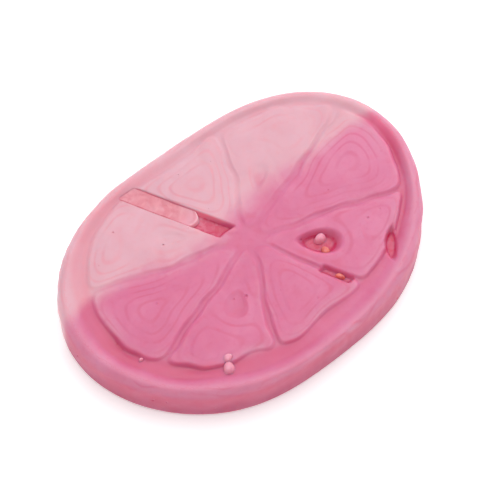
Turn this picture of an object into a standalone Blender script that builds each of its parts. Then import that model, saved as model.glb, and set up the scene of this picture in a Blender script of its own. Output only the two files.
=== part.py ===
"""An oval fruit gummy, poured in two tones of pink and moulded with a fruit slice inside a raised rim.

It is one solid piece. X is the long way of the oval, Y goes across it towards the pale side, and Z is up.
The moulded face is on top, the flat back rests at Z 0, and the origin is in the middle of the back.
"""

import math

import bmesh
import bpy
from mathutils import Vector

# Driving dimensions, in metres
LENGTH = 0.0450
WIDTH = 0.0308
THICKNESS = 0.0050

# The outline is an oval whose radius swells and dips by these shares of itself
FULLNESS = 0.0225  # four times round: squarer shoulders than an ellipse
TWIST = 0.0045  # four times round: shoulders a little out of line
BELLY = 0.025  # three times round: bulges on the near side, flat on the far side
LEAN = 0.0035  # three times round: one end blunter than the other
FILLING = 0.007  # five times round: keeps the flat far side from being hollow

# The wall and the rim, as insets from the outline of the back and as heights
BACK_ROUND = 0.0005
WALL_LEAN = 0.00015
SHOULDER_HEIGHT = 0.0037
CREST_INSET = 0.0011
CREST_NARROWING = 0.0006  # the rim's crest is this much nearer the outline on the near side
NARROW_PART = (262, 8, 45)  # direction, full to and gone from, in degrees to each side
RIM_FALL = 0.00025  # how far the field of the face lies below the rim's crest
FIELD_INSET = 0.0048  # the field's radius, which the shares below are of, ends this far in
FIELD_CROWN = 0.00012

# The moat inside the rim
MOAT_INSET = 0.00215  # where the moat ends and the raised field begins, at its narrowest
WIDE_PARTS = (  # direction, full to, gone from, and how much wider the moat is there
    (200, 25, 75, 0.00165),
    (295, 15, 50, 0.00115),
)
MOAT_BANK = 0.0016  # how far the moat's outer bank reaches in from the crest
MOAT_DEPTH = 0.00034
FOOT_DEPTH = 0.00012  # how much further the moat falls to the foot of the field
FOOT_WIDTH = 0.0010
SHALLOW_PART = (268, 15, 55)  # direction, full to and gone from, where the moat is shallow
SHALLOW_SHARE = 0.4  # the depth that is left of the moat there

# The lines between the segments
LINE_DEPTH = 0.00021
LINE_FLOOR = 0.00009  # half the width of a line's flat bottom
LINE_FLANK = 0.00040
LINE_RUNOUT = 0.0024  # over this length a line's bottom falls to the moat's floor
LINE_FADE = (0.15, 0.85)  # a line gains its depth between these shares of the field's radius
HUB_DEPTH_SHARE = 0.30
CORNER_ROUND = 0.0010
WORN_SHARE = 0.30  # the depth that is left of a groove on the far side, where the candy filled back in
WORN_SPAN = (0.0, 0.007)

# The fruit slice: segments round an oval hub, with slots pressed in along two of the segment edges
SEGMENTS = 8
HUB_SHARE = 0.09
SLOT_FLANK = 0.00022
SLOT_RUNOUT = 0.025
SLOTS = (  # segment edge, width, depth, and the shares of the field it runs between
    (2, 0.0019, 0.00075, 0.22, 1.23),
    (6, 0.0009, 0.00065, 0.72, 1.02),
)

# The seeds are drop-shaped pits
SEED_SHARE = 0.56
SEED_TAPER = 0.35
PIT_BANK = (0.55, 1.1)  # the bank of a pit rises between these shares of its half size
SEEDS = (  # segment, length, width, depth
    (0, 0.0034, 0.0018, 0.00014),
    (2, 0.0032, 0.0017, 0.00009),
    (4, 0.0034, 0.0024, 0.00014),
    (6, 0.0052, 0.0030, 0.00090),
)
NOTCH = (6, 0.0044, 0.0016, 0.00085, 0.0031)  # segment, length along the moat, width, depth, inset

# How finely the surface is divided
RAYS_PER_SEGMENT = 18
EDGE_RAYS = (0.0, 0.0001, 0.0005, 0.0007, 0.00125)  # rays that run this far beside a segment edge
EDGE_RAYS_LIMIT = 0.45  # near the middle, they take up at most this share of a segment on each side
HUB_BAND = (0.05, 0.25)  # where the rings of the hub lie, as shares of the field's radius
HUB_CENTRE_RINGS = 1
HUB_RINGS = 5
FIELD_RINGS = 17
FOOT_RINGS = 3
MOAT_RINGS = 8
RIM_RINGS = 4
WALL_RINGS = 1
BACK_RINGS = 2

DEEP_PINK = (0.73, 0.17, 0.31, 1.0)


def outline_radius(angle):
    """Distance from the middle to the outline of the back in this direction."""
    half_length = LENGTH / 2 / (1 - FULLNESS)
    half_width = WIDTH / 2 / (1 - FULLNESS)
    oval = half_length * half_width / math.hypot(half_width * math.cos(angle), half_length * math.sin(angle))
    thrice = BELLY * math.sin(3 * angle) + LEAN * math.cos(3 * angle)
    fourfold = TWIST * math.sin(4 * angle) - FULLNESS * math.cos(4 * angle)
    return oval * (1 + thrice + fourfold + FILLING * math.sin(5 * angle))


def segment_edge_angle(number):
    """Direction of a segment edge, squeezed so that the segments at the ends and sides are about as wide."""
    turn = 2 * math.pi * (number + 0.5) / SEGMENTS
    squeeze = math.sqrt(WIDTH / LENGTH)
    return math.atan2(squeeze * math.sin(turn), math.cos(turn)) % (2 * math.pi)


def segment_middle(segment):
    """Direction of the middle of a segment."""
    start = segment_edge_angle(segment)
    return start + (segment_edge_angle(segment + 1) - start) % (2 * math.pi) / 2


def ray_angle(ray, distance):
    """Direction, this far from the middle, of a ray that is counted from the first segment edge."""
    segment, step = divmod(ray, RAYS_PER_SEGMENT)
    start = segment_edge_angle(segment)
    sweep = (segment_edge_angle(segment + 1) - start) % (2 * math.pi)
    half = RAYS_PER_SEGMENT // 2
    from_edge = min(step, RAYS_PER_SEGMENT - step)
    beside = min(EDGE_RAYS[-1] / distance, EDGE_RAYS_LIMIT * sweep)
    last = len(EDGE_RAYS) - 1
    if from_edge <= last:
        turn = beside * EDGE_RAYS[from_edge] / EDGE_RAYS[-1]
    else:
        turn = beside + (sweep / 2 - beside) * (from_edge - last) / (half - last)
    return start + turn if step <= half else start + sweep - turn


def ramp(value, low, high):
    """0 below low, 1 above high, and a smooth rise in between."""
    t = min(max((value - low) / (high - low), 0.0), 1.0)
    return t * t * (3 - 2 * t)


def soft_nearest(first, second):
    """The smaller of two distances, blended where they are alike, which rounds corners between grooves."""
    overlap = max(CORNER_ROUND - abs(first - second), 0.0) / CORNER_ROUND
    return min(first, second) - overlap * overlap * CORNER_ROUND / 4


def turn_between(first, second):
    """The smallest turn between two directions."""
    return abs((first - second + math.pi) % (2 * math.pi) - math.pi)


def in_part(angle, direction, full, gone):
    """1 up to full degrees from a direction, and 0 from gone degrees on."""
    return 1 - ramp(math.degrees(turn_between(angle, math.radians(direction))), full, gone)


def crest_inset(angle):
    """How far inside the outline the rim is highest."""
    return CREST_INSET - CREST_NARROWING * in_part(angle, *NARROW_PART)


def moat_edge(angle):
    """How far inside the outline the raised field begins."""
    return MOAT_INSET + sum(widening * in_part(angle, *part) for *part, widening in WIDE_PARTS)


def groove_distance(x, y):
    """Distance to the moat or to the nearest line of the fruit slice, and below 0 in the moat."""
    angle = math.atan2(y, x)
    radius = outline_radius(angle)
    distance = math.hypot(x, y)
    hub_radius = HUB_SHARE * (radius - FIELD_INSET)
    nearest = max(distance - hub_radius, 0.0)
    if nearest > 0:
        for number in range(SEGMENTS):
            edge = segment_edge_angle(number)
            if turn_between(angle, edge) < math.pi / 2:
                nearest = soft_nearest(nearest, abs(x * math.sin(edge) - y * math.cos(edge)))
    return soft_nearest(nearest, radius - distance - moat_edge(angle))


def slot_relief(x, y, share):
    """How deep the slots are pressed in along their segment edges."""
    deepest = 0.0
    for number, width, depth, inner, outer in SLOTS:
        edge = segment_edge_angle(number)
        if turn_between(math.atan2(y, x), edge) < math.pi / 2:
            across = abs(x * math.sin(edge) - y * math.cos(edge))
            side = 1 - ramp(across, width / 2 - SLOT_FLANK, width / 2 + SLOT_FLANK)
            begun = ramp(share, inner - SLOT_RUNOUT, inner + SLOT_RUNOUT)
            ended = ramp(share, outer - SLOT_RUNOUT, outer + SLOT_RUNOUT)
            deepest = max(deepest, depth * side * begun * (1 - ended))
    return deepest


def pit_shape(x, y, towards, reach, length, width):
    """1 in the bottom of a drop-shaped pit, and 0 outside it. Its narrow end points at the hub."""
    along = x * math.cos(towards) + y * math.sin(towards) - reach
    across = y * math.cos(towards) - x * math.sin(towards)
    taper = 1 + SEED_TAPER * min(max(2 * along / length, -1), 1)
    return 1 - ramp(math.hypot(2 * along / length, 2 * across / (width * taper)), *PIT_BANK)


def pit_relief(x, y):
    """How deep the seed pits are here, or the notch between the field and the moat."""
    segment, length, width, depth, inset = NOTCH
    towards = segment_middle(segment)
    deepest = depth * pit_shape(x, y, towards, outline_radius(towards) - inset, width, length)
    for segment, length, width, depth in SEEDS:
        towards = segment_middle(segment)
        reach = SEED_SHARE * (outline_radius(towards) - FIELD_INSET)
        deepest = max(deepest, depth * pit_shape(x, y, towards, reach, length, width))
    return deepest


def top_height(x, y):
    """Height of the moulded face."""
    angle = math.atan2(y, x)
    radius = outline_radius(angle)
    inset = radius - math.hypot(x, y)
    share = (radius - inset) / (radius - FIELD_INSET)
    crest = crest_inset(angle)
    edge = moat_edge(angle)
    worn = 1 - (1 - WORN_SHARE) * ramp(y, *WORN_SPAN)
    faded = HUB_DEPTH_SHARE + (1 - HUB_DEPTH_SHARE) * ramp(share, *LINE_FADE)
    bank = ramp(inset, crest, min(edge, crest + MOAT_BANK))
    shallow = 1 - (1 - SHALLOW_SHARE) * in_part(angle, *SHALLOW_PART)
    sunk = MOAT_DEPTH * bank + FOOT_DEPTH * ramp(inset, edge - FOOT_WIDTH, edge)
    moat_floor = THICKNESS - RIM_FALL * bank - worn * shallow * sunk
    line_floor = THICKNESS - RIM_FALL - LINE_DEPTH * worn * faded
    floor = moat_floor + (line_floor - moat_floor) * ramp(inset, edge, edge + LINE_RUNOUT)
    field = THICKNESS - RIM_FALL + FIELD_CROWN * (1 - min(share, 1.0) ** 2)
    raised = ramp(groove_distance(x, y), LINE_FLOOR, LINE_FLOOR + LINE_FLANK)
    height = floor + (field - floor) * raised
    pressed = max(slot_relief(x, y, share), pit_relief(x, y))
    return min(height, max(height, field) - pressed)


def steps(start, end, count):
    """count values from just after start up to end."""
    return [start + (end - start) * (number + 1) / count for number in range(count)]


def face_rings():
    """The rings of the face: 1 is the top of the field's edge, 2 is its foot, and 3 is the rim's crest."""
    band_start, band_end = HUB_BAND
    rings = steps(0, band_start, HUB_CENTRE_RINGS) + steps(band_start, band_end, HUB_RINGS)
    return rings + steps(band_end, 1, FIELD_RINGS) + steps(1, 2, FOOT_RINGS) + steps(2, 3, MOAT_RINGS)


def side_rings():
    """The rings over the shoulder, down the wall and in under it.

    Each is an inset, a height, and how much it has of the crest's further inset and of its further height.
    """
    rings = []
    for turn in steps(0, math.pi / 2, RIM_RINGS):
        rings.append((WALL_LEAN, SHOULDER_HEIGHT, 1 - math.sin(turn), math.cos(turn)))
    for down in steps(0, 1, WALL_RINGS):
        rings.append((WALL_LEAN * (1 - down), SHOULDER_HEIGHT + (BACK_ROUND - SHOULDER_HEIGHT) * down, 0, 0))
    for turn in steps(0, math.pi / 2, BACK_RINGS):
        rings.append((BACK_ROUND * (1 - math.cos(turn)), BACK_ROUND * (1 - math.sin(turn)), 0, 0))
    return rings


def face_distance(angle, reach):
    """How far a ring of the face is from the middle in this direction."""
    radius = outline_radius(angle)
    foot = radius - moat_edge(angle)
    stops = (0.0, foot - LINE_FLOOR - LINE_FLANK, foot, radius - crest_inset(angle))
    zone = min(int(reach), 2)
    return stops[zone] + (reach - zone) * (stops[zone + 1] - stops[zone])


def face_point(ray, reach):
    """A vertex of the face."""
    rough_distance = face_distance(segment_edge_angle(round(ray / RAYS_PER_SEGMENT)), reach)
    angle = ray_angle(ray, rough_distance)
    distance = face_distance(angle, reach)
    x, y = distance * math.cos(angle), distance * math.sin(angle)
    return Vector((x, y, top_height(x, y)))


def side_point(ray, inset, height, curl, rise):
    """A vertex of the shoulder, the wall or the edge of the back."""
    angle = ray_angle(ray, outline_radius(segment_edge_angle(round(ray / RAYS_PER_SEGMENT))))
    distance = outline_radius(angle) - inset - curl * (crest_inset(angle) - inset)
    z = height + rise * (THICKNESS - height)
    return Vector((distance * math.cos(angle), distance * math.sin(angle), z))


def make_gummy():
    """The whole candy: a sphere whose rings are drawn over the face, down the wall and in under the back."""
    face = face_rings()
    side = side_rings()
    rays = SEGMENTS * RAYS_PER_SEGMENT
    rings = len(face) + len(side)
    shape = bmesh.new()
    bmesh.ops.create_uvsphere(shape, u_segments=rays, v_segments=rings + 1, radius=1)
    for vertex in shape.verts:
        ring = round(math.acos(min(max(vertex.co.z, -1), 1)) / math.pi * (rings + 1)) - 1
        ray = round(math.atan2(vertex.co.y, vertex.co.x) / (2 * math.pi) * rays) % rays
        if ring < 0:
            vertex.co = Vector((0, 0, top_height(0, 0)))
        elif ring == rings:
            vertex.co = Vector((0, 0, 0))
        elif ring < len(face):
            vertex.co = face_point(ray, face[ring])
        else:
            vertex.co = side_point(ray, *side[ring - len(face)])
    centre_on_origin(shape)
    bmesh.ops.recalc_face_normals(shape, faces=shape.faces)
    mesh = bpy.data.meshes.new("gummy")
    shape.to_mesh(mesh)
    shape.free()
    mesh.shade_smooth()
    return bpy.data.objects.new("gummy", mesh)


def centre_on_origin(shape):
    """Moves the shape sideways, so that the middle of its overall length and width is on the Z axis."""
    for axis in (0, 1):
        places = [vertex.co[axis] for vertex in shape.verts]
        middle = (min(places) + max(places)) / 2
        for vertex in shape.verts:
            vertex.co[axis] -= middle


def pink_candy():
    """Soft opaque candy with a dull shine."""
    material = bpy.data.materials.new("pink_candy")
    material.use_nodes = True
    shader = material.node_tree.nodes["Principled BSDF"]
    shader.inputs["Base Color"].default_value = DEEP_PINK
    shader.inputs["Roughness"].default_value = 0.45
    shader.inputs["Metallic"].default_value = 0.0
    return material


for old in list(bpy.data.objects):
    bpy.data.objects.remove(old)

candy = bpy.data.collections.new("fruit_gummy")
bpy.context.scene.collection.children.link(candy)
gummy = make_gummy()
gummy.data.materials.append(pink_candy())
candy.objects.link(gummy)
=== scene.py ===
"""The looks of an oval fruit gummy in deep and pale pink, with a fruit slice moulded into its face."""

import math

import bmesh
import bpy
import numpy as np
from mathutils import Matrix, Vector


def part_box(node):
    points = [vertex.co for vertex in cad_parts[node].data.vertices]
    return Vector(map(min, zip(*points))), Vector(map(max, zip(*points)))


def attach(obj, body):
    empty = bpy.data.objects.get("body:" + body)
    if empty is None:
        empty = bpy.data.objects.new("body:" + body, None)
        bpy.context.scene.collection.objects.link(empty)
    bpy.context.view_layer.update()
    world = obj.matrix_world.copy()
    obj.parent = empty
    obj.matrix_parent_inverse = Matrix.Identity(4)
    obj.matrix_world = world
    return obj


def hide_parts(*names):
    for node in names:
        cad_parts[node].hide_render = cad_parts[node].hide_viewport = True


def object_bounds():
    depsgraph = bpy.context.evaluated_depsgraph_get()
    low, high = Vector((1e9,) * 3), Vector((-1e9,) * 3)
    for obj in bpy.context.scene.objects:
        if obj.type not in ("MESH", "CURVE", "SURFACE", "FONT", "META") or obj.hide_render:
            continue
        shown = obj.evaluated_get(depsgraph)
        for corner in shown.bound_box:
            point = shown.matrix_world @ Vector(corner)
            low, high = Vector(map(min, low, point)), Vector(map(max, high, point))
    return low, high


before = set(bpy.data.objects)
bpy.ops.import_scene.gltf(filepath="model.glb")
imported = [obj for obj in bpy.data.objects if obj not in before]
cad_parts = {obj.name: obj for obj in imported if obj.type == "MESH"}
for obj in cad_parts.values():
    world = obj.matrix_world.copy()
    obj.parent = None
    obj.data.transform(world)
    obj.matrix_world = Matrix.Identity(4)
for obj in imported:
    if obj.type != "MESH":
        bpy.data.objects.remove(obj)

cad_low, cad_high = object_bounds()

# The candy
# One piece of soft, milky gelatine candy, poured in two pinks side by side into one mould, so they meet in a
# wavy line. The mould leaves a rim, a moat, a fruit slice, its tool's faint steps and pits of trapped air.
MM = 0.001
box_low, box_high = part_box("gummy")
length, width, thickness = (box_high - box_low) / MM
middle_x, middle_y, _ = (box_high + box_low) / 2 / MM

# The outline is an oval that swells and dips by these shares of its radius
FULLNESS = 0.0225
TWIST = 0.0045
BELLY = 0.025
LEAN = 0.0035
FILLING = 0.007
OUTLINE_STEPS = 3600

# Insets from the outline of the back, and heights, in millimetres
BACK_ROUND = 0.5
WALL_LEAN = 0.15
SHOULDER_HEIGHT = 3.7
CREST_INSET = 1.1
CREST_NARROWING = 0.6
NARROW_PART = (262, 8, 45)  # direction, and the turns to each side that it is full to and gone from
RIM_FALL = 0.25
FIELD_INSET = 4.8
FIELD_CROWN = 0.06

# The moat inside the rim and the lines between the segments, in millimetres
MOAT_INSET = 2.15
WIDE_PARTS = (  # direction, full to, gone from, and how much wider the moat is there
    (200, 25, 75, 1.65),
    (295, 15, 50, 1.15),
)
MOAT_BANK = 1.6
MOAT_DEPTH = 0.34
FOOT_DEPTH = 0.12
FOOT_WIDTH = 1.0
SHALLOW_PART = (268, 15, 55)
SHALLOW_SHARE = 0.4
LINE_DEPTH = 0.21
LINE_FLOOR = 0.09
LINE_FLANK = 0.40
LINE_RUNOUT = 2.4
LINE_FADE = (0.15, 0.85)
HUB_DEPTH_SHARE = 0.30
CORNER_ROUND = 1.0
WORN_SHARE = 0.30
WORN_SPAN = (0.0, 7.0)

# The fruit slice, its slots and its pits
SEGMENTS = 8
HUB_SHARE = 0.09
SLOT_FLANK = 0.22
SLOT_RUNOUT = 0.025
SLOTS = (  # segment edge, width, depth, and the shares of the field it runs between
    (2, 1.9, 0.75, 0.22, 1.23),
    (6, 0.9, 0.65, 0.72, 1.02),
)
SEED_SHARE = 0.56
SEED_TAPER = 0.35
PIT_BANK = (0.55, 1.1)
SEEDS = (  # segment, length, width, depth
    (0, 3.4, 1.8, 0.14),
    (2, 3.2, 1.7, 0.09),
    (4, 3.4, 2.4, 0.14),
    (6, 5.2, 3.0, 0.90),
)
NOTCH = (6, 4.4, 1.6, 0.85, 3.1)  # segment, length along the moat, width, depth, and inset from the outline

# The steps of the mould's tool: how far apart, how high, and the part of each that its rise takes up
TOOL_STEP = 0.75
TOOL_RISE = 0.04
TOOL_REACH = 0.9
TOOL_EDGE = (0.65, 1.0)
TOOL_LEVELS = (-1, 3)

# Random swells of the surface, as (height, wavelength, seed). The wall's also say how fast they change
# upwards.
SWELL_WAVES = 6
SWELL_SPREAD = (0.7, 1.4)
SWAY_ALONG = ((0.25, 11, 3), (0.09, 3.5, 13))
SWAY_ACROSS = ((0.25, 11, 4), (0.09, 3.5, 14))
WEAR_SWELLS = ((0.3, 7, 5),)
FIELD_SWELLS = ((0.03, 8, 6), (0.012, 2.2, 7))
STEP_SWELLS = ((0.3, 13, 9),)
CREST_DIP = 0.05
CREST_SWELLS = ((1, 14, 8),)
WALL_SWELLS = ((0.055, 6, 10, 1.7), (0.02, 1.6, 11, 3))
WALL_SWELLS_FROM = (0, 1.2)
WALL_SWELLS_TO = 3.8
BACK_HOLLOW = 0.03
BACK_SWELLS = ((1, 9, 12),)
BACK_HOLLOW_SPAN = (0.8, 3.5)

# How finely the candy's surface is divided, and the shortest edge that stays on it, in millimetres
FACE_CELLS = 264
RIM_RINGS = 8
WALL_RINGS = 7
FOOT_RINGS = 4
SLIVER = 0.002


def ramp(value, low, high):
    """0 below low, 1 above high, and a smooth rise in between."""
    t = np.clip((value - low) / (high - low), 0, 1)
    return t * t * (3 - 2 * t)


def ripple(x, y, wavelength, seed):
    """An even, random swell over the plane, of about this wavelength and between about -1 and 1."""
    draw = np.random.default_rng(seed)
    total = np.zeros_like(x)
    for turn in draw.uniform(0, 2 * math.pi, SWELL_WAVES):
        pace = 2 * math.pi / wavelength * draw.uniform(*SWELL_SPREAD)
        start = draw.uniform(0, 2 * math.pi)
        total = total + np.sin(pace * (x * math.cos(turn) + y * math.sin(turn)) + start)
    return total / math.sqrt(SWELL_WAVES)


def swollen(level, x, y, swells):
    """A level with random swells added to it."""
    for height, wavelength, seed in swells:
        level = level + height * ripple(x, y, wavelength, seed)
    return level


def outline_radius(angle):
    """Distance from the middle to the outline of the back in this direction."""
    half_length = length / 2 / (1 - FULLNESS)
    half_width = width / 2 / (1 - FULLNESS)
    oval = half_length * half_width / np.hypot(half_width * np.cos(angle), half_length * np.sin(angle))
    thrice = BELLY * np.sin(3 * angle) + LEAN * np.cos(3 * angle)
    fourfold = TWIST * np.sin(4 * angle) - FULLNESS * np.cos(4 * angle)
    return oval * (1 + thrice + fourfold + FILLING * np.sin(5 * angle))


def segment_edge_angle(number):
    """Direction of a segment edge, squeezed so that the segments at the ends and sides are about as wide."""
    turn = 2 * math.pi * (number + 0.5) / SEGMENTS
    squeeze = math.sqrt(width / length)
    return math.atan2(squeeze * math.sin(turn), math.cos(turn)) % (2 * math.pi)


def segment_middle(segment):
    """Direction of the middle of a segment."""
    start = segment_edge_angle(segment)
    return start + (segment_edge_angle(segment + 1) - start) % (2 * math.pi) / 2


def turned(x, y, turn):
    """A place after a turn about the middle."""
    return x * math.cos(turn) - y * math.sin(turn), x * math.sin(turn) + y * math.cos(turn)


def turn_between(first, second):
    """The smallest turn between two directions."""
    return np.abs((first - second + math.pi) % (2 * math.pi) - math.pi)


def soft_nearest(first, second):
    """The smaller of two distances, blended where they are alike, which rounds corners between grooves."""
    overlap = np.maximum(CORNER_ROUND - np.abs(first - second), 0) / CORNER_ROUND
    return np.minimum(first, second) - overlap * overlap * CORNER_ROUND / 4


def in_part(angle, direction, full, gone):
    """1 up to full degrees from a direction, and 0 from gone degrees on."""
    return 1 - ramp(np.degrees(turn_between(angle, math.radians(direction))), full, gone)


def crest_inset(angle):
    """How far inside the outline the rim is highest. The rim is a little narrower on the near side."""
    return CREST_INSET - CREST_NARROWING * in_part(angle, *NARROW_PART)


def moat_edge(angle):
    """How far inside the outline the raised field begins in this direction."""
    return MOAT_INSET + sum(widening * in_part(angle, *part) for *part, widening in WIDE_PARTS)


def groove_distance(x, y):
    """Distance to the moat or to the slice's nearest line, and how closely they all crowd round."""
    angle = np.arctan2(y, x)
    radius = outline_radius(angle)
    distance = np.hypot(x, y)
    hub_radius = HUB_SHARE * (radius - FIELD_INSET)
    nearest = np.maximum(distance - hub_radius, 0)
    crowding = np.exp(-nearest / TOOL_REACH)
    for number in range(SEGMENTS):
        edge = segment_edge_angle(number)
        beside = (distance > hub_radius) & (turn_between(angle, edge) < math.pi / 2)
        across = np.abs(turned(x, y, -edge)[1])
        nearest = np.where(beside, soft_nearest(nearest, across), nearest)
        crowding = crowding + np.where(beside, np.exp(-across / TOOL_REACH), 0)
    from_moat = radius - distance - moat_edge(angle)
    return soft_nearest(nearest, from_moat), crowding + np.exp(-from_moat / TOOL_REACH)


def slot_relief(x, y, share):
    """How deep the slots are pressed in along their segment edges."""
    deepest = np.zeros_like(x)
    for number, slot_width, depth, inner, outer in SLOTS:
        edge = segment_edge_angle(number)
        across = np.abs(turned(x, y, -edge)[1])
        side = 1 - ramp(across, slot_width / 2 - SLOT_FLANK, slot_width / 2 + SLOT_FLANK)
        begun = ramp(share, inner - SLOT_RUNOUT, inner + SLOT_RUNOUT)
        ended = ramp(share, outer - SLOT_RUNOUT, outer + SLOT_RUNOUT)
        beside = turn_between(np.arctan2(y, x), edge) < math.pi / 2
        deepest = np.maximum(deepest, np.where(beside, depth * side * begun * (1 - ended), 0))
    return deepest


def pit_reach(x, y, towards, reach, pit_length, pit_width):
    """How far from the middle of a drop-shaped pit, as a share of its half size."""
    along, across = turned(x, y, -towards)
    along = along - reach
    taper = 1 + SEED_TAPER * np.clip(2 * along / pit_length, -1, 1)
    return np.hypot(2 * along / pit_length, 2 * across / (pit_width * taper))


def pit_relief(x, y):
    """How deep the pits are here, and the distance to the nearest one."""
    deepest = np.zeros_like(x)
    nearest = np.full_like(x, thickness)
    for segment, seed_length, seed_width, depth in SEEDS:
        towards = segment_middle(segment)
        reach = SEED_SHARE * (outline_radius(towards) - FIELD_INSET)
        from_middle = pit_reach(x, y, towards, reach, seed_length, seed_width)
        deepest = np.maximum(deepest, depth * (1 - ramp(from_middle, *PIT_BANK)))
        nearest = np.minimum(nearest, np.maximum(from_middle - 1, 0) * seed_width / 2)
    segment, notch_length, notch_width, depth, inset = NOTCH
    towards = segment_middle(segment)
    from_middle = pit_reach(x, y, towards, outline_radius(towards) - inset, notch_width, notch_length)
    return np.maximum(deepest, depth * (1 - ramp(from_middle, *PIT_BANK))), nearest


def face_relief(x, y):
    """Height of the moulded face, its depth below the raised field, and the distances its colours follow."""
    swayed_x = swollen(x, x, y, SWAY_ALONG)
    swayed_y = swollen(y, x, y, SWAY_ACROSS)
    angle = np.arctan2(y, x)
    radius = outline_radius(angle)
    inset = radius - np.hypot(x, y)
    share = (radius - inset) / (radius - FIELD_INSET)
    crest = crest_inset(angle)
    edge = moat_edge(angle)
    worn = (1 - (1 - WORN_SHARE) * ramp(y, *WORN_SPAN)) * swollen(1, x, y, WEAR_SWELLS)
    near, crowding = groove_distance(swayed_x, swayed_y)
    pits, near_pit = pit_relief(x, y)

    dip = CREST_DIP * np.maximum(swollen(1, x, y, CREST_SWELLS), 0) * (1 - ramp(inset, crest, edge))
    bank = ramp(inset, crest, np.minimum(edge, crest + MOAT_BANK))
    shallow = 1 - (1 - SHALLOW_SHARE) * in_part(angle, *SHALLOW_PART)
    sunk = MOAT_DEPTH * bank + FOOT_DEPTH * ramp(inset, edge - FOOT_WIDTH, edge)
    moat_floor = thickness - dip - RIM_FALL * bank - worn * shallow * sunk
    faded = HUB_DEPTH_SHARE + (1 - HUB_DEPTH_SHARE) * ramp(share, *LINE_FADE)
    line_floor = thickness - RIM_FALL - LINE_DEPTH * worn * faded
    floor = moat_floor + (line_floor - moat_floor) * ramp(inset, edge, edge + LINE_RUNOUT)

    clear_of_all = -TOOL_REACH * np.log(crowding + np.exp(-near_pit / TOOL_REACH))
    steps = swollen(clear_of_all / TOOL_STEP, x, y, STEP_SWELLS)
    stair = np.floor(steps) + ramp(steps - np.floor(steps), *TOOL_EDGE)
    crown = FIELD_CROWN * (1 - np.minimum(share, 1) ** 2) + TOOL_RISE * np.clip(stair, *TOOL_LEVELS)
    top = thickness - RIM_FALL + crown + swollen(0, x, y, FIELD_SWELLS) * ramp(inset, crest, edge)
    height = floor + (top - floor) * ramp(near, LINE_FLOOR, LINE_FLOOR + LINE_FLANK)
    uncut = np.maximum(top, height)
    relief = np.maximum(uncut - height, np.maximum(slot_relief(x, y, share), pits))
    return uncut - relief, relief * ramp(inset, crest, crest + MOAT_BANK), near, steps


def disc_grid(cells):
    """A square grid bent into a disc of even cells: each point's direction and its share of the radius."""
    u, v = np.meshgrid(np.linspace(-1, 1, cells + 1), np.linspace(-1, 1, cells + 1), indexing="ij")
    share = np.maximum(np.abs(u), np.abs(v))
    safe_u = np.where(u == 0, 1, u)
    safe_v = np.where(v == 0, 1, v)
    across = np.where(u >= 0, 0, math.pi) + math.pi / 4 * v / safe_u
    upward = np.where(v >= 0, 0.5, 1.5) * math.pi - math.pi / 4 * u / safe_v
    angle = np.where(np.abs(u) >= np.abs(v), across, upward)
    return angle, share


def border_order(cells):
    """The grid's border points in order, anticlockwise from its lowest corner."""
    ascending = np.arange(cells)
    falling = cells - ascending
    low = np.zeros(cells, int)
    high = low + cells
    rows = np.concatenate([ascending, high, falling, low])
    columns = np.concatenate([low, ascending, high, falling])
    return rows * (cells + 1) + columns


def grid_quads(cells):
    """The faces of a grid, seen from above."""
    rows, columns = np.meshgrid(np.arange(cells), np.arange(cells), indexing="ij")
    corner = (rows * (cells + 1) + columns).reshape(-1)
    return np.stack([corner, corner + cells + 1, corner + cells + 2, corner + 1], 1)


def strip(upper, lower):
    """The faces between two loops of the wall, where the lower one may have half as many points."""
    upper_next, lower_next = np.roll(upper, -1), np.roll(lower, -1)
    if len(upper) == len(lower):
        return np.stack([upper, lower, lower_next, upper_next], 1).tolist()
    first, second, third = upper[::2], upper[1::2], upper_next[1::2]
    left = np.stack([first, lower, second], 1)
    under = np.stack([second, lower, lower_next], 1)
    right = np.stack([second, lower_next, third], 1)
    return np.concatenate([left, under, right]).tolist()


def wall_rings():
    """The rings from the crest to the back, as (inset, height, share of the crest's inset, of its rise)."""
    rings = []
    for turn in np.linspace(0, math.pi / 2, RIM_RINGS + 1)[1:]:
        rings.append((WALL_LEAN, SHOULDER_HEIGHT, 1 - math.sin(turn), math.cos(turn)))
    for down in np.linspace(0, 1, WALL_RINGS + 1)[1:]:
        rings.append((WALL_LEAN * (1 - down), SHOULDER_HEIGHT + (BACK_ROUND - SHOULDER_HEIGHT) * down, 0, 0))
    for turn in np.linspace(0, math.pi / 2, FOOT_RINGS + 1)[1:-1]:
        rings.append((BACK_ROUND * (1 - math.cos(turn)), BACK_ROUND * (1 - math.sin(turn)), 0, 0))
    return rings


def ring_points(angle, crest, inset, height, curl, rise):
    """A ring of the wall: curl and rise are how much of the crest's inset and height it has."""
    x, y = np.cos(angle), np.sin(angle)
    radius = outline_radius(angle) - inset - curl * (crest_inset(angle) - inset)
    z = height + rise * (crest - height)
    fade = ramp(z, *WALL_SWELLS_FROM) * (1 - ramp(z, WALL_SWELLS_TO, thickness))
    dent = sum(
        depth * ripple(radius * x, radius * y + upwards * z, wavelength, seed)
        for depth, wavelength, seed, upwards in WALL_SWELLS
    )
    radius = radius + dent * fade
    return np.stack([radius * x, radius * y, z], 1)


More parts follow.
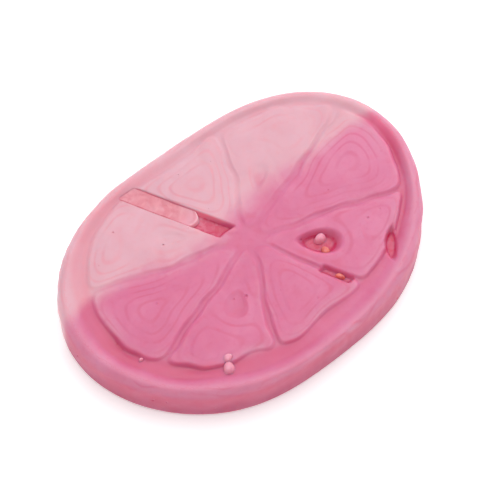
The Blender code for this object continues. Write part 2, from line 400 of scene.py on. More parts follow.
def candy_body():
    """Points and faces of the candy: the face's grid, the rings of rim and wall, and the back's grid."""
    angle, share = disc_grid(FACE_CELLS)
    distance = share * (outline_radius(angle) - crest_inset(angle))
    x, y = distance * np.cos(angle), distance * np.sin(angle)
    points = [np.stack([x, y, face_relief(x, y)[0]], 2).reshape(-1, 3)]
    faces = grid_quads(FACE_CELLS).tolist()
    loop = border_order(FACE_CELLS)
    crest = points[0][loop, 2]
    ring_angle = angle.reshape(-1)[loop]
    total = len(points[0])
    halved = (RIM_RINGS + 1, RIM_RINGS + WALL_RINGS)
    for number, ring in enumerate(wall_rings()):
        upper = loop
        if number in halved:
            ring_angle, crest = ring_angle[::2], crest[::2]
        points.append(ring_points(ring_angle, crest, *ring))
        loop = total + np.arange(len(ring_angle))
        total += len(ring_angle)
        faces += strip(upper, loop)

    cells = len(ring_angle) // 4
    angle, share = disc_grid(cells)
    radius = outline_radius(angle)
    distance = share * (radius - BACK_ROUND)
    x, y = distance * np.cos(angle), distance * np.sin(angle)
    lifted = np.maximum(swollen(1, x, y, BACK_SWELLS), 0)
    hollow = BACK_HOLLOW * lifted * ramp(radius - distance, *BACK_HOLLOW_SPAN)
    points.append(np.stack([x, y, hollow], 2).reshape(-1, 3))
    faces += strip(loop, total + border_order(cells))
    faces += (grid_quads(cells)[:, ::-1] + total).tolist()
    return np.concatenate(points), faces


def in_place(points):
    """The candy's points, moved from its own millimetres to the place and size of the frame's box."""
    every = np.linspace(0, 2 * math.pi, OUTLINE_STEPS + 1)
    radius = outline_radius(every)
    edge_x, edge_y = radius * np.cos(every), radius * np.sin(every)
    placed = np.array(points, float)
    for axis, (edge, size, middle) in enumerate(((edge_x, length, middle_x), (edge_y, width, middle_y))):
        centre = (edge.max() + edge.min()) / 2
        placed[:, axis] = (placed[:, axis] - centre) * size / (edge.max() - edge.min()) + middle
    return placed * MM


def new_piece(name, points, faces):
    """A smooth mesh object with these points and faces."""
    mesh = bpy.data.meshes.new(name)
    mesh.from_pydata(np.asarray(points).tolist(), [], faces)
    mesh.validate()
    mesh.update()
    mesh.shade_smooth()
    piece = bpy.data.objects.new(name, mesh)
    bpy.context.scene.collection.objects.link(piece)
    return piece


# Trapped air, in millimetres. Each place has its number of bubbles, how far out of the surface their middles
# lie, and their radius, the last two for each millimetre of the size drawn.
AIR_SEED = 21
AIR_SIZE = (0.10, 0.20)  # the least, and how much more the most is
AIR_APART = 0.2
AIR_DIVISIONS = 2
FACE_AIR = (16, 0.25, 0.8)
WALL_AIR = (20, 0.3, 0.9)
BACK_AIR = (64, 0.3, 1.4)
FACE_AIR_CLEAR = 1.5  # of the grooves
WALL_AIR_SPAN = (0.9, 3.2)
BACK_AIR_INSET = 1.2


def air_bubbles():
    """Where air was caught against the mould: middles and radii of small bubbles that the surface cuts."""
    draw = np.random.default_rng(AIR_SEED)
    least, more = AIR_SIZE
    on_face, face_out, face_size = FACE_AIR
    on_wall, wall_out, wall_size = WALL_AIR
    on_back, back_out, back_size = BACK_AIR
    bubbles = []
    while len(bubbles) < on_face + on_wall + on_back:
        angle = draw.uniform(0, 2 * math.pi)
        radius = outline_radius(angle)
        drawn = least + more * draw.random() ** 3
        if len(bubbles) < on_face:
            distance = math.sqrt(draw.random()) * (radius - 2 * CREST_INSET)
            x, y = distance * math.cos(angle), distance * math.sin(angle)
            height, _, near, _ = face_relief(np.array(x), np.array(y))
            if near < FACE_AIR_CLEAR:
                continue
            z, size = float(height) + face_out * drawn, face_size * drawn
        elif len(bubbles) < on_face + on_wall:
            z, size = draw.uniform(*WALL_AIR_SPAN), wall_size * drawn
            leaning = WALL_LEAN * (z - BACK_ROUND) / (SHOULDER_HEIGHT - BACK_ROUND)
            distance = radius - leaning + wall_out * drawn
        else:
            distance = math.sqrt(draw.random()) * (radius - BACK_AIR_INSET)
            z, size = -back_out * drawn, back_size * drawn
        middle = (distance * math.cos(angle), distance * math.sin(angle), z)
        if all(math.dist(middle, other) > size + other_size + AIR_APART for other, other_size in bubbles):
            bubbles.append((middle, size))
    return bubbles


def press_bubbles(candy, bubbles):
    """Cuts the trapped air out of the candy's surface, and leaves a crisp rim round each pit."""
    shape = bmesh.new()
    for middle, size in bubbles:
        place = Matrix.Translation(middle)
        bmesh.ops.create_icosphere(shape, subdivisions=AIR_DIVISIONS, radius=size, matrix=place)
    mesh = bpy.data.meshes.new("trapped_air")
    shape.to_mesh(mesh)
    shape.free()
    mesh.shade_smooth()
    air = bpy.data.objects.new("trapped_air", mesh)
    bpy.context.scene.collection.objects.link(air)
    cut = candy.modifiers.new("trapped_air", "BOOLEAN")
    cut.operation = "DIFFERENCE"
    cut.solver = "MANIFOLD"
    cut.object = air
    bpy.context.view_layer.update()
    pitted = bpy.data.meshes.new_from_object(candy.evaluated_get(bpy.context.evaluated_depsgraph_get()))
    candy.modifiers.remove(cut)
    pitted.materials.clear()
    shape = bmesh.new()
    shape.from_mesh(pitted)
    bmesh.ops.dissolve_degenerate(shape, dist=SLIVER, edges=shape.edges)
    needless = [point for point in shape.verts if len(point.link_edges) == 2]
    bmesh.ops.dissolve_verts(shape, verts=needless)
    shape.to_mesh(pitted)
    shape.free()
    candy.data = pitted
    bpy.data.objects.remove(air)


RIM_HIGHLIGHT_FADE = 1.1  # how far inside the crest the rim's painted highlight is gone, in millimetres
RIM_HIGHLIGHT_FROM = 3.3  # the height that the rim's painted highlight begins at on the wall


def make_candy():
    """The whole candy, with what its colours follow kept on its points."""
    points, faces = candy_body()
    candy = new_piece("candy", points, faces)
    press_bubbles(candy, air_bubbles())
    mesh = candy.data
    points = np.empty(len(mesh.vertices) * 3, np.float32)
    mesh.vertices.foreach_get("co", points)
    points = points.reshape(-1, 3).astype(float)
    x, y, z = points.T
    angle = np.arctan2(y, x)
    radius = outline_radius(angle)
    inset = radius - np.hypot(x, y)
    crest = crest_inset(angle)
    on_face = (z > SHOULDER_HEIGHT) & (inset > crest)
    height, relief, near, steps = face_relief(x, y)
    # The rim's painted highlight: full at the crest, fading inwards and down the top of the wall
    rim = np.where(inset > crest, 1 - ramp(inset, crest, crest + RIM_HIGHLIGHT_FADE), ramp(z, RIM_HIGHLIGHT_FROM, thickness))
    kept = {
        "sunk": np.where(on_face, relief + np.maximum(height - z, 0), 0),
        "slotted": slot_relief(x, y, (radius - inset) / (radius - FIELD_INSET)),
        "to_groove": np.where(on_face, near, thickness),
        "to_moat": np.where(on_face, inset - moat_edge(angle), thickness),
        "tool_steps": steps,
        "rim": np.where(z > SHOULDER_HEIGHT, rim, 0),
    }
    for name, values in kept.items():
        mesh.attributes.new(name, "FLOAT", "POINT").data.foreach_set("value", values)
    mesh.vertices.foreach_set("co", in_place(points).astype(np.float32).reshape(-1))
    mesh.update()
    return candy


class Signal:
    """A value on its way through a material's nodes. Python's operators on it add Math nodes."""

    def __init__(self, tree, socket=None):
        self.tree = tree
        self.socket = socket

    def node(self, kind, settings=(), inputs=(), output=0):
        """Adds a node, sets it up, feeds its sockets by name or number, and gives one of its outputs."""
        made = self.tree.nodes.new(kind)
        for name, value in dict(settings).items():
            if name == "stops":
                self.set_stops(made.color_ramp, value)
            else:
                setattr(made, name, value)
        for name, value in dict(inputs).items():
            if isinstance(value, Signal):
                self.tree.links.new(value.socket, made.inputs[name])
            else:
                made.inputs[name].default_value = value
        return Signal(self.tree, made.outputs[output])

    def set_stops(self, color_ramp, stops):
        """Gives a colour ramp these stops, as (place, colour)."""
        while len(color_ramp.elements) < len(stops):
            color_ramp.elements.new(1.0)
        for element, (place, colour) in zip(color_ramp.elements, stops):
            element.position = place
            element.color = (*colour, 1.0)

    def math(self, operation, first, second=0.0):
        """A Math node on one or two numbers."""
        return self.node("ShaderNodeMath", {"operation": operation}, {0: first, 1: second})

    def __add__(self, other):
        return self.math("ADD", self, other)

    def __radd__(self, other):
        return self.math("ADD", other, self)

    def __sub__(self, other):
        return self.math("SUBTRACT", self, other)

    def __rsub__(self, other):
        return self.math("SUBTRACT", other, self)

    def __mul__(self, other):
        return self.math("MULTIPLY", self, other)

    def __rmul__(self, other):
        return self.math("MULTIPLY", other, self)

    def __truediv__(self, other):
        return self.math("DIVIDE", self, other)

    def ramp(self, low, high):
        """0 below low, 1 above high, and a smooth rise in between."""
        settings = {"interpolation_type": "SMOOTHSTEP"}
        return self.node("ShaderNodeMapRange", settings, {"Value": self, "From Min": low, "From Max": high})

    def band(self, low, full, fading, gone):
        """0 below low, 1 from full to fading, and 0 above gone."""
        return self.ramp(low, full) * (1 - self.ramp(fading, gone))

    def near_zero(self, full, gone):
        """1 up to full on both sides of zero, and 0 from gone on."""
        return 1 - self.math("ABSOLUTE", self).ramp(full, gone)

    def mix(self, other, share):
        """This colour where share is 0, and the other one where it is 1."""
        end = other if isinstance(other, Signal) else (*other, 1.0)
        return self.node("ShaderNodeMix", {"data_type": "RGBA"}, {0: share, 6: self, 7: end}, output=2)

    def tones(self, stops):
        """The colour that these stops, as (place, colour), have at this value."""
        return self.node("ShaderNodeValToRGB", {"stops": stops}, {"Fac": self})

    def axis(self, name):
        """One of the three numbers of this place."""
        return self.node("ShaderNodeSeparateXYZ", {}, {0: self}, output=name)

    def noise(self, size, detail=2.0, distortion=0.0):
        """Cloudy noise between 0 and 1 over this place in millimetres, with clouds of about this size."""
        inputs = {"Vector": self, "Scale": 1 / size, "Detail": detail, "Distortion": distortion}
        return self.node("ShaderNodeTexNoise", {}, inputs)

    def patches(self, size, low, high):
        """Soft patches of about this size over this place: 0 between them and 1 inside them."""
        return self.noise(size).ramp(low, high)

    def kept(self, name):
        """A number that is kept on the piece's points."""
        return self.node("ShaderNodeAttribute", {"attribute_name": name}, output="Fac")

    def bumps(self, strength, height):
        """The surface's direction where this value raises it by up to a height in millimetres."""
        inputs = {"Height": self, "Strength": strength, "Distance": height * MM}
        return self.node("ShaderNodeBump", {}, inputs)


def new_finish(name):
    """A new material, its shader node, and a start for its signals."""
    finish = bpy.data.materials.new(name)
    finish.use_nodes = True
    shader = finish.node_tree.nodes["Principled BSDF"]
    return finish, shader, Signal(finish.node_tree)


def feed(shader, values):
    """Links signals to the shader's sockets, or sets the sockets to plain values."""
    for name, value in values.items():
        if isinstance(value, Signal):
            value.tree.links.new(value.socket, shader.inputs[name])
        else:
            shader.inputs[name].default_value = value


def millimetres(start):
    """The place on the piece, in millimetres."""
    place = start.node("ShaderNodeTexCoord", output="Object")
    return start.node("ShaderNodeVectorMath", {"operation": "SCALE"}, {0: place, "Scale": 1 / MM})


# The two pinks, which drift a little in tone. Noises are given as (size, detail, distortion) all through.
PALE_TONES = (
    (0.30, (0.735, 0.388, 0.465)),
    (0.50, (0.757, 0.414, 0.490)),
    (0.70, (0.772, 0.440, 0.517)),
    (0.90, (0.785, 0.462, 0.540)),
)
DEEP_TONES = (
    (0.30, (0.675, 0.148, 0.300)),
    (0.50, (0.700, 0.172, 0.328)),
    (0.70, (0.718, 0.200, 0.360)),
    (0.90, (0.735, 0.225, 0.388)),
)
TONE_CLOUDS = (4.0, 3.0, 0.6)
LIGHTER_SPAN = (2.0, 14.0)
LIGHTER_STEP = 0.22

# The line where the pinks meet, in millimetres along and across the candy
SEAM_LEVEL = 3.9
SEAM_LEFT_RISE = (-14.0, -9.0, 1.0)  # between these places along the candy, and by how much
SEAM_DIP = ((-11.0, -6.0), (-3.0, 1.5), 1.7)  # where it falls and rises again, and by how much
SEAM_SOFTNESS = (1.1, 2.2)
SEAM_SOFT_BAND = (-16.0, -9.0, 6.0, 15.0)
SEAM_UNDERCUT = 5.0  # how far the deep pink runs on under the pale, for each millimetre of depth
SEAM_DRIFT = ((6.0, 1.0, 0.3), 1.4)  # noise, and how far it pushes the line
SEAM_WISPS = ((2.2, 3.0, 0.8), 1.9)
SEAM_STEADY = 0.45  # the share of both pushes that is left where the line is firm

# Painted highlights: lighter pink on the rim, on the field's edge and on the segments' lips
HIGHLIGHT_PINK = (0.66, 0.52, 0.58)
LIP_BAND = (0.2, 0.5, 0.5, 1.1)
LIP_PATCHES = (3.0, 0.4, 0.6)
LIP_HIGHLIGHT_SHARE = 0.10
SHELF_BAND = (0.15, 0.6, 0.7, 2.2)
SHELF_PATCHES = (5.0, 0.30, 0.62)
SHELF_HIGHLIGHT_SHARE = 0.16
RIM_HIGHLIGHT_SHARE = 0.22
LIP_LOSS_IN_PALE = 0.7

# Painted shade: a darker wall, darkest at its foot, and deeper pink in the moat, lines and sunken parts.
# The same deeper pink also draws darker lines along the tool's steps.
PALE_GROOVE = (0.79, 0.275, 0.35)
DEEP_GROOVE = (0.65, 0.085, 0.195)
STEP_BAND = (0.50, 0.76, 0.80, 1.0)
STEP_CLEAR = (0.4, 0.9)
STEP_PATCHES = (5.0, 0.38, 0.60)
STEP_SHARE = 0.38
DEEP_WALL_SHADE = (
    (0.10, (0.42, 0.033, 0.100)),
    (0.65, (0.61, 0.046, 0.117)),
)
PALE_WALL_SHADE = (0.84, 0.53, 0.59)
WALL_SHADE_SPAN = (3.5, 4.8)
WALL_SHADE_SHARE = 0.60
MOAT_SHADE_MIDDLE = 0.6  # how far outside the field's edge the moat's painted shade is deepest
MOAT_SHADE_REACH = (0.3, 1.4)
MOAT_SHADE_SPAN = (-8.0, 4.0)
MOAT_SHADE_SHARE = 0.50
HOT_PINK = (0.84, 0.055, 0.19)  # of the moat where it bends round the far end
HOT_ALONG = (8.0, 13.0)
HOT_ACROSS = (-5.0, 1.0)
HOT_SHARE = 0.42
LINE_SHADE_REACH = (0.05, 0.45)
LINE_SHADE_PATCHES = (5.0, 0.42, 0.62)
LINE_SHADE_SHARE = 0.20
FOOT_SHADE_REACH = (0.10, 0.55)
FOOT_SHADE_PATCHES = (4.0, 0.30, 0.60)
FOOT_SHADE_SHARE = 0.22
SUNK_SHADE_SPAN = (0.04, 0.60)
SUNK_SHADE_SHARE = 0.50

# The red of the slots' sides, and the dark red painted as shade in the deepest pits and slot floors
SLOT_SIDE = (0.88, 0.20, 0.30)
SLOT_SIDE_SPAN = (0.02, 0.20)
SLOT_SIDE_SHARE = 0.8
PIT_SHADE_RED = (0.64, 0.025, 0.115)
PIT_SHADE_SPAN = (0.57, 0.70)  # depths, in millimetres, that the painted shade begins and is full at
PIT_CLOUDS = (0.8, 2.0, 0.8)
PIT_CLOUDS_SPAN = (0.38, 0.62)
PIT_LEAST = 0.35
PIT_LOSS_IN_PALE = 0.6

# The candy's fine grain, and how dull or wet it is
SPECKS = (0.55, 3.0)
SPECK_SPAN = (0.52, 0.75)
SPECK_SHARE = 0.16
GRAIN = (0.22, 2.0)
GRAIN_SHARE = 0.25
GRAIN_BUMPS = (0.35, 0.05)
DULLNESS = 0.44
SPECK_DULLNESS = 0.16
WET_SPAN = (0.1, 0.6)
WETNESS = 0.14


def candy_paleness(place, x, y, sunk):
    """1 in the pale pink and 0 in the deep pink, with wisps of each in the other where they meet."""
    left_from, left_to, left_rise = SEAM_LEFT_RISE
    falling, rising, dip = SEAM_DIP
    least_soft, most_soft = SEAM_SOFTNESS
    drift_noise, drift_reach = SEAM_DRIFT
    wisps_noise, wisps_reach = SEAM_WISPS
    seam = SEAM_LEVEL + (1 - x.ramp(left_from, left_to)) * left_rise + sunk * SEAM_UNDERCUT
    seam = seam - x.band(*falling, *rising) * dip
    softest = x.band(*SEAM_SOFT_BAND)
    softness = least_soft + softest * (most_soft - least_soft)
    drift = (place.noise(*drift_noise) - 0.5) * drift_reach
    wisps = (place.noise(*wisps_noise) - 0.5) * wisps_reach
    past_seam = y - seam + (drift + wisps) * (SEAM_STEADY + (1 - SEAM_STEADY) * softest)
    return (past_seam / softness).ramp(-1.0, 1.0)


def candy_colour(start, place, sunk, specks):
    """The candy's pinks, with painted highlights, painted shade in its grooves, wall and pits, and its
    steps.
    """
    x, y, z = place.axis("X"), place.axis("Y"), place.axis("Z")
    to_groove = start.kept("to_groove")
    to_moat = start.kept("to_moat")
    step = start.math("FRACT", start.kept("tool_steps"))

    paleness = candy_paleness(place, x, y, sunk)
    clouds = place.noise(*TONE_CLOUDS)
    lighter = x.ramp(*LIGHTER_SPAN) * LIGHTER_STEP
    colour = (clouds + lighter).tones(DEEP_TONES).mix(clouds.tones(PALE_TONES), paleness)
    # The deeper pink that paints shade into the grooves, and also marks the tool's steps and the specks
    groove = start.node("ShaderNodeRGB")
    groove.socket.default_value = (*DEEP_GROOVE, 1.0)
    groove = groove.mix(PALE_GROOVE, paleness)

    lip = to_groove.band(*LIP_BAND) * place.patches(*LIP_PATCHES)
    shelf = to_moat.band(*SHELF_BAND) * place.patches(*SHELF_PATCHES)
    # Painted highlights on the lips, the field's edge and the rim, weaker in the pale pink
    lit = lip * LIP_HIGHLIGHT_SHARE + shelf * SHELF_HIGHLIGHT_SHARE + start.kept("rim") * RIM_HIGHLIGHT_SHARE
    colour = colour.mix(HIGHLIGHT_PINK, lit * (1 - paleness * LIP_LOSS_IN_PALE))
    step_line = step.band(*STEP_BAND) * to_groove.ramp(*STEP_CLEAR)
    colour = colour.mix(groove, step_line * place.patches(*STEP_PATCHES) * STEP_SHARE)
    # Painted shade on the wall below the rim, darkest towards its foot in the deep pink
    wall = (z / thickness).tones(DEEP_WALL_SHADE).mix(PALE_WALL_SHADE, paleness)
    colour = colour.mix(wall, (1 - z.ramp(*WALL_SHADE_SPAN)) * WALL_SHADE_SHARE)
    # Painted shade on the moat's floor just outside the field's foot, fading out along the candy
    moat_shade = (to_moat + MOAT_SHADE_MIDDLE).near_zero(*MOAT_SHADE_REACH)
    colour = colour.mix(groove, moat_shade * (1 - x.ramp(*MOAT_SHADE_SPAN)) * MOAT_SHADE_SHARE)
    hot = moat_shade * x.ramp(*HOT_ALONG) * y.ramp(*HOT_ACROSS)
    colour = colour.mix(HOT_PINK, hot * (1 - paleness) * HOT_SHARE)
    # Painted shade along the floors of the lines and at the foot of the field's edge
    line = to_groove.near_zero(*LINE_SHADE_REACH)
    foot = to_moat.near_zero(*FOOT_SHADE_REACH)
    colour = colour.mix(groove, line * place.patches(*LINE_SHADE_PATCHES) * LINE_SHADE_SHARE)
    colour = colour.mix(groove, foot * place.patches(*FOOT_SHADE_PATCHES) * FOOT_SHADE_SHARE)
    # Painted shade that grows with how far the face is sunk
    colour = colour.mix(groove, sunk.ramp(*SUNK_SHADE_SPAN) * SUNK_SHADE_SHARE)
    side = start.kept("slotted").ramp(*SLOT_SIDE_SPAN)
    colour = colour.mix(SLOT_SIDE, side * paleness * SLOT_SIDE_SHARE)
    # Painted shade: the deepest pits and slot floors turn dark red in cloudy patches, less in the pale pink
    pit_shade_clouds = PIT_LEAST + place.noise(*PIT_CLOUDS).ramp(*PIT_CLOUDS_SPAN) * (1 - PIT_LEAST)
    colour = colour.mix(PIT_SHADE_RED, sunk.ramp(*PIT_SHADE_SPAN) * pit_shade_clouds * (1 - paleness * PIT_LOSS_IN_PALE))
    return colour.mix(groove, specks.ramp(*SPECK_SPAN) * SPECK_SHARE)


def candy_finish():
    """Milky candy that light soaks into, in two pinks that swirl together a little where they meet."""
    finish, shader, start = new_finish("pink_candy")
    place = millimetres(start)
    sunk = start.kept("sunk")
    specks = place.noise(*SPECKS)
    grain = place.noise(*GRAIN) * GRAIN_SHARE + specks * (1 - GRAIN_SHARE)
    feed(shader, {
        "Base Color": candy_colour(start, place, sunk, specks),
        "Roughness": DULLNESS + specks * SPECK_DULLNESS - sunk.ramp(*WET_SPAN) * WETNESS,
        "Subsurface Weight": 1.0,
        "Subsurface Radius": (1.0, 0.40, 0.34),
        "Subsurface Scale": 0.9 * MM,
        "Coat Weight": 0.10,
        "Coat Roughness": 0.28,
        "Normal": grain.bumps(*GRAIN_BUMPS),
    })
    return finish


candy = make_candy()
candy.data.materials.append(candy_finish())
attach(candy, "root")
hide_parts("gummy")

# The film in the slot
# A skin of clear set syrup fills the outer part of the wide slot. It has crept up the slot's sides, and ends
# in a round, raised front. It set where the syrup pooled, and nothing holds it but the candy.
FILM_SPAN = (1.27, 0.56)  # the shares of the field that it runs between
FILM_OVERLAP = 0.16
FILM_DEPTH = 0.20
FILM_SUNK = 0.15  # how far its underside is inside the candy
FILM_CREEP = 0.09
FILM_TUCK = 0.12
FILM_TUCK_SPAN = (0.82, 1.0)
FILM_FRONT = 0.12
FILM_FRONT_RISE = (0.0, 0.16)
FILM_FRONT_FALL = (0.22, 0.75)
FILM_FRONT_FOOT = (-0.02, 0.2)
FILM_BULGE = 0.75
FILM_SWAY = ((0.02, 2.0, 31),)
FILM_SWELLS = ((0.03, 1.8, 32),)
FILM_CELLS = (84, 24)
FILM_CLOUDS = (0.9, 3.0, 0.5)
FILM_TONES = (
    (0.35, (0.72, 0.24, 0.30)),
    (0.65, (0.79, 0.33, 0.39)),
)
FILM_SWIRL = (0.81, 0.42, 0.49)
FILM_SWIRL_CLOUDS = (1.9, 2.0, 1.2)
FILM_SWIRL_SPAN = (0.50, 0.64)
FILM_SWIRL_SHARE = 0.5
FILM_TONGUE = (0.80, 0.37, 0.45)
FILM_TONGUE_SPAN = (0.9, 2.4)
FILM_ARC_HIGHLIGHT = (0.93, 0.52, 0.60)
FILM_ARC_HIGHLIGHT_SPAN = (0.12, 0.42)
FILM_EDGE_SHADE = (0.66, 0.13, 0.20)
FILM_EDGE_SHADE_SPAN = (0.08, 0.24)
FILM_EDGE_SHADE_SHARE = 0.7
SYRUP_UNEVEN_GLOSS = 0.12
SYRUP_BUMPS = (0.3, 0.08)


def make_film():
    """A thin slab that fits the slot, hollow along its middle and thick at its round front."""
    number, slot_width, depth, _, _ = SLOTS[0]
    edge = segment_edge_angle(number)
    field = outline_radius(edge) - FIELD_INSET
    first, last = FILM_SPAN
    runs, rows = FILM_CELLS
    s, t = np.meshgrid(np.linspace(0, 1, runs + 1), np.linspace(-1, 1, rows + 1), indexing="ij")
    front = last * field - FILM_BULGE * (1 - t * t)
    along = first * field + (front - first * field) * s
    across = swollen(t * (slot_width / 2 + FILM_OVERLAP), along, t, FILM_SWAY)
    x, y = turned(along, across, edge)
    level = thickness - RIM_FALL - FILM_DEPTH + FILM_CREEP * t ** 4
    level = swollen(level, along, across, FILM_SWELLS) - FILM_TUCK * ramp(np.abs(t), *FILM_TUCK_SPAN)
    from_front = along - front
    bead = FILM_FRONT * ramp(from_front, *FILM_FRONT_RISE) * (1 - ramp(from_front, *FILM_FRONT_FALL))
    drop = (depth - FILM_DEPTH) * (1 - ramp(from_front, *FILM_FRONT_FOOT))
    top = level + bead - drop
    bottom = np.full_like(top, thickness - RIM_FALL - depth - FILM_SUNK)
    points = np.concatenate([np.stack([x, y, z], 2).reshape(-1, 3) for z in (top, bottom)])
    count = (runs + 1) * (rows + 1)
    grid = np.arange(count).reshape(runs + 1, rows + 1)
    upward = np.stack([grid[:-1, :-1], grid[:-1, 1:], grid[1:, 1:], grid[1:, :-1]], 2).reshape(-1, 4)
    border = np.concatenate([grid[:-1, 0], grid[-1, :-1], grid[:0:-1, -1], grid[0, :0:-1]])
    side = np.stack([border, np.roll(border, -1), np.roll(border, -1) + count, border + count], 1)
    faces = np.concatenate([upward, upward[:, ::-1] + count, side])
    piece = new_piece("slot_film", in_place(points), faces.tolist())
    for name, values in (("from_front", from_front), ("from_side", 1 - np.abs(t))):
        both = np.tile(values.reshape(-1), 2)
        piece.data.attributes.new(name, "FLOAT", "POINT").data.foreach_set("value", both)
    return piece


def feed_syrup(shader, colour, clouds, dullness, bending):
    """Sugar syrup that has set: a little cloudy, and light soaks into it less far than into the candy."""
    feed(shader, {
        "Base Color": colour,
        "Roughness": dullness + clouds * SYRUP_UNEVEN_GLOSS,
        "IOR": bending,
        "Subsurface Weight": 1.0,
        "Subsurface Radius": (1.0, 0.7, 0.6),
        "Subsurface Scale": 0.25 * MM,
        "Normal": clouds.bumps(*SYRUP_BUMPS),
    })


def film_finish():
    """Salmon syrup with paler swirls, a pale tongue behind its front, a painted highlight on the bead along
    its front, and painted shade along its sides.
    """
    finish, shader, start = new_finish("film_syrup")
    place = millimetres(start)
    from_front = start.kept("from_front")
    from_side = start.kept("from_side")
    clouds = place.noise(*FILM_CLOUDS)
    swirl = place.noise(*FILM_SWIRL_CLOUDS).ramp(*FILM_SWIRL_SPAN)
    colour = clouds.tones(FILM_TONES)
    colour = colour.mix(FILM_SWIRL, swirl * FILM_SWIRL_SHARE)
    colour = colour.mix(FILM_TONGUE, 1 - from_front.ramp(*FILM_TONGUE_SPAN))
    # Painted highlight: a bright pale arc along the film's front bead
    colour = colour.mix(FILM_ARC_HIGHLIGHT, 1 - from_front.ramp(*FILM_ARC_HIGHLIGHT_SPAN))
    # Painted shade along the film's sides, where it meets the slot's walls
    colour = colour.mix(FILM_EDGE_SHADE, (1 - from_side.ramp(*FILM_EDGE_SHADE_SPAN)) * FILM_EDGE_SHADE_SHARE)
    feed_syrup(shader, colour, clouds, dullness=0.28, bending=1.38)
    return finish


film = make_film()
film.data.materials.append(film_finish())
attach(film, "root")

# The syrup drops
# Drops of the same syrup, which sweated out of the candy and gathered where the grooves are deepest. Most
# took up the candy's pink, and two in the deep pits dried to amber. They stick to the candy by themselves.
DROP_PROFILE = (  # share of the half size, and of the height
    (1.12, -0.45),
    (1.10, 0.0),
    (1.0, 0.22),
    (0.93, 0.5),
    (0.76, 0.78),
    (0.45, 0.96),
    (0.15, 1.0),
)
DROP_SIDES = 20
DROP_UNEVEN = (0.07, 0.05)
DROP_DIVISIONS = 2
DROP_CLOUDS = (0.8, 3.0, 0.5)
CLEAR_TONES = (
    (0.35, (0.76, 0.27, 0.39)),
    (0.65, (0.86, 0.38, 0.49)),
)
AMBER_TONES = (
    (0.35, (0.70, 0.17, 0.16)),
    (0.65, (0.84, 0.27, 0.22)),
)


def make_drops(name, drops):
    """Low domes with a foot sunk into the candy, each from its place, length, width, height and turn."""
    twofold, threefold = DROP_UNEVEN
    points, faces = [], []
    for number, ((x, y), drop_length, drop_width, drop_height, turn) in enumerate(drops):
        ground = float(face_relief(np.array(x), np.array(y))[0])
        around = np.linspace(0, 2 * math.pi, DROP_SIDES, endpoint=False)
        uneven = 1 + twofold * np.sin(2 * around + number) + threefold * np.sin(3 * around + 2 * number)
        start = len(points)
        for share, rise in DROP_PROFILE:
            along = share * uneven * drop_length / 2 * np.cos(around)
            across = share * uneven * drop_width / 2 * np.sin(around)
            from_x, from_y = turned(along, across, turn)
            level = np.full_like(around, ground + rise * drop_height)
            points += np.stack([x + from_x, y + from_y, level], 1).tolist()
        for ring in range(len(DROP_PROFILE) - 1):
            for side in range(DROP_SIDES):
                low = start + ring * DROP_SIDES + side
                low_next = start + ring * DROP_SIDES + (side + 1) % DROP_SIDES
                faces.append((low, low_next, low_next + DROP_SIDES, low + DROP_SIDES))
        faces.append(list(range(start + DROP_SIDES - 1, start - 1, -1)))
        top = start + (len(DROP_PROFILE) - 1) * DROP_SIDES
        faces.append(list(range(top, top + DROP_SIDES)))
    piece = new_piece(name, in_place(points), faces)
    smooth = piece.modifiers.new("round", "SUBSURF")
    smooth.levels = DROP_DIVISIONS
    smooth.render_levels = DROP_DIVISIONS
    return piece


def drop_finish(name, tones):
    """Glossy set syrup in these tones."""
    finish, shader, start = new_finish(name)
    clouds = millimetres(start).noise(*DROP_CLOUDS)
    feed_syrup(shader, clouds.tones(tones), clouds, dullness=0.10, bending=1.42)
    return finish


seed_towards = segment_middle(SEEDS[3][0])
seed_reach = SEED_SHARE * (outline_radius(seed_towards) - FIELD_INSET)
short_edge = segment_edge_angle(SLOTS[1][0])
short_reach = outline_radius(short_edge) - FIELD_INSET

clear_drops = make_drops("clear_drops", (
    ((-11.4, -10.5), 1.45, 1.25, 0.60, 0.6),
    ((-10.8, -9.6), 0.95, 0.90, 0.33, 0.0),
    ((-17.9, -3.7), 0.50, 0.45, 0.28, 0.0),
    (turned(seed_reach + 0.1, 0.65, seed_towards), 1.35, 1.15, 0.70, 0.3),
))
clear_drops.data.materials.append(drop_finish("clear_syrup", CLEAR_TONES))
amber_drops = make_drops("amber_drops", (
    (turned(seed_reach + 0.7, -0.85, seed_towards), 1.15, 0.90, 0.45, 1.1),
    (turned(0.90 * short_reach, 0.10, short_edge), 1.05, 0.62, 0.40, short_edge),
))
amber_drops.data.materials.append(drop_finish("amber_syrup", AMBER_TONES))
for drops in (clear_drops, amber_drops):
    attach(drops, "root")

# The table top
# A plain white sheet that the candy lies on, large enough to fill every view. It glows a little from below,
# like a photographer's light table, which leaves the candy hardly any shadow.
TABLE_SIDE = 2.0
TABLE_WHITE = 0.96
TABLE_GLOW = 0.28
TABLE_GAP = 0.02 * MM  # the back's own unevenness, over which the candy rests on a few spots


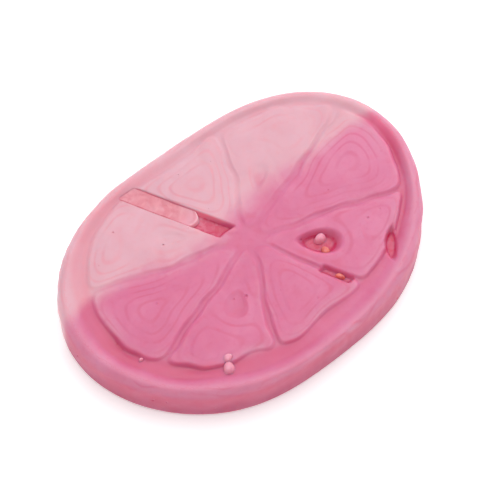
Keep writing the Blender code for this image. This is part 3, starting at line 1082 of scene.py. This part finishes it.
def make_table():
    """A thin square sheet whose top is just under the candy."""
    bpy.ops.mesh.primitive_plane_add(size=TABLE_SIDE, location=(0, 0, -TABLE_GAP))
    table = bpy.context.object
    table.name = "table_top"
    finish, shader, _ = new_finish("pale_table")
    feed(shader, {
        "Base Color": (TABLE_WHITE, TABLE_WHITE, TABLE_WHITE, 1.0),
        "Roughness": 0.7,
        "Emission Color": (1.0, 1.0, 1.0, 1.0),
        "Emission Strength": TABLE_GLOW,
    })
    table.data.materials.append(finish)
    return table


make_table()

# The studio
# White surroundings, one large soft light overhead and a little behind the candy, and a weak one behind it
# on the right. They light the candy evenly, and leave its grooves and its near side a little darker.
VIEW_AZIMUTH = math.radians(-40)
STUDIO_GLOW = 0.56


def from_view(right, away, up):
    """A place or a direction given from the camera's side of the table, in metres."""
    return (*turned(right, away, VIEW_AZIMUTH), up)


def soft_light(name, place, side, power):
    """A square light that faces the candy."""
    data = bpy.data.lights.new(name, "AREA")
    data.size = side
    data.energy = power
    light = bpy.data.objects.new(name, data)
    light.location = place
    light.rotation_euler = (-Vector(place)).to_track_quat("-Z", "Y").to_euler()
    bpy.context.scene.collection.objects.link(light)


def white_studio():
    """Surroundings that glow white from all sides."""
    world = bpy.data.worlds.new("white_studio")
    world.use_nodes = True
    background = world.node_tree.nodes["Background"]
    background.inputs["Color"].default_value = (1.0, 1.0, 1.0, 1.0)
    background.inputs["Strength"].default_value = STUDIO_GLOW
    bpy.context.scene.world = world


soft_light("overhead_light", from_view(right=0.02, away=0.14, up=0.58), side=0.5, power=1.85)
soft_light("side_light", from_view(right=0.24, away=0.46, up=0.30), side=0.3, power=0.7)
white_studio()
bpy.context.scene.view_settings.view_transform = "Standard"

# The camera
# It looks down on the candy from the photograph's side and height, and from as far away. Its lens is longer,
# so the candy fills more of the frame than in the photograph.
VIEW_ELEVATION = math.radians(62)
VIEW_DISTANCE = 0.182
CAMERA_LENS = 118


def make_camera():
    """A camera that looks at the middle of the candy."""
    data = bpy.data.cameras.new("camera")
    data.sensor_width = 36
    data.lens = CAMERA_LENS
    data.clip_start = 0.01
    camera = bpy.data.objects.new("camera", data)
    level = math.cos(VIEW_ELEVATION)
    back = Vector(from_view(right=0.0, away=-level, up=math.sin(VIEW_ELEVATION)))
    camera.location = (cad_low + cad_high) / 2 + back * VIEW_DISTANCE
    camera.rotation_euler = (-back).to_track_quat("-Z", "Y").to_euler()
    bpy.context.scene.collection.objects.link(camera)
    bpy.context.scene.camera = camera


make_camera()
